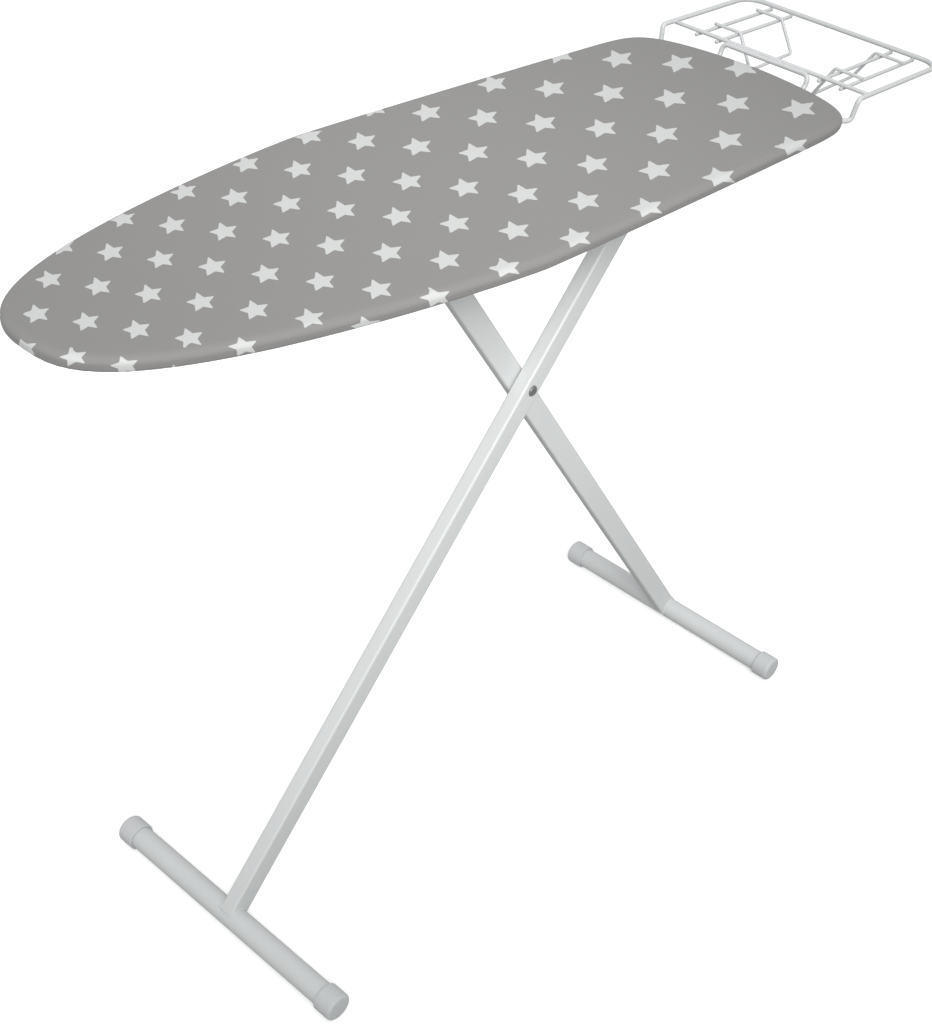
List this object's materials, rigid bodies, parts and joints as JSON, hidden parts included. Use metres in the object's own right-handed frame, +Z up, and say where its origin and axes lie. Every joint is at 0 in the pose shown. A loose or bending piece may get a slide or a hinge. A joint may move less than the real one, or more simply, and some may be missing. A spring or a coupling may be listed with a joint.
{
  "type": "ironing board",
  "caption": "Folding ironing board with a padded, star-printed cover on a vented steel top, crossed tube legs with capped feet, and a wire iron rest.",
  "frame": {"origin": "on the floor, under the middle of the object's box", "axes": "+X from the nose to the iron rest, +Y to the left side, +Z up"},
  "size_m": [1.248, 0.397, 0.91],
  "materials": {
    "cover_cloth": "matte printed cotton, grey with pale stars",
    "felt": "matte needled felt",
    "sheet_steel": "satin powder coat",
    "painted_tube": "satin grey-white powder coat",
    "painted_wire": "semi-gloss dip coat",
    "cap_plastic": "moulded satin plastic",
    "nylon": "natural nylon",
    "bright_steel": "zinc plated"
  },
  "bodies": {
    "board": {"cover": "cover_cloth", "hem_elastic": "cover_cloth", "felt_pad": "felt", "deck_panel": "sheet_steel", "deck_rim": "sheet_steel", "front_brace": "sheet_steel", "rear_brace": "sheet_steel", "rail_left": "sheet_steel", "rail_right": "sheet_steel", "rail_spreader_mid": "sheet_steel", "rail_spreader_front": "sheet_steel", "rail_rivets": "bright_steel", "lever_bracket_front": "sheet_steel", "lever_bracket_rear": "sheet_steel", "lever_pivot_rod": "bright_steel", "lever_spring": "bright_steel", "rest_outer_frame": "painted_wire", "rest_cross_wire": "painted_wire", "rest_support_wire": "painted_wire", "ladder_wire_left_outer": "painted_wire", "ladder_wire_left_inner": "painted_wire", "ladder_wire_right_inner": "painted_wire", "ladder_wire_right_outer": "painted_wire", "rest_loop_left": "painted_wire", "rest_loop_right": "painted_wire", "rest_saddles": "bright_steel", "rest_screws": "bright_steel"},
    "leg_a": {"leg_a_tube": "painted_tube", "leg_a_pin": "bright_steel", "leg_a_pin_nuts": "bright_steel", "leg_a_spacer_left": "nylon", "leg_a_spacer_right": "nylon", "foot_a_tube": "painted_tube", "foot_a_cap_left": "cap_plastic", "foot_a_cap_right": "cap_plastic", "cross_bolt": "bright_steel", "cross_nut": "bright_steel", "cross_washer": "nylon"},
    "leg_b": {"leg_b_tube": "painted_tube", "slide_rod": "bright_steel", "slide_shoe_left": "nylon", "slide_shoe_right": "nylon", "slide_rod_clips": "bright_steel", "foot_b_tube": "painted_tube", "foot_b_cap_left": "cap_plastic", "foot_b_cap_right": "cap_plastic"},
    "release_lever": {"lever_plate": "sheet_steel", "lever_grip": "nylon"}
  },
  "joints": [
    {"name": "leg_a_fold", "type": "hinge", "parent": "board", "child": "leg_a", "pos_m": [0.2655, 0, 0.868], "axis": [0, 1, 0], "range_deg": [0, 49]},
    {"name": "leg_b_fold", "type": "hinge", "parent": "leg_a", "child": "leg_b", "pos_m": [0.05229, 0, 0.59423], "axis": [0, 1, 0], "range_deg": [-98, 0]},
    {"name": "lever_squeeze", "type": "hinge", "parent": "board", "child": "release_lever", "pos_m": [0, 0.062, 0.857], "axis": [1, 0, 0], "range_deg": [0, 10], "stiffness_Nm_per_rad": 1, "springref_deg": -8.59}
  ],
  "couplings": [
    {"joint": "leg_b_fold", "follows": "leg_a_fold", "ratio": -2}
  ]
}
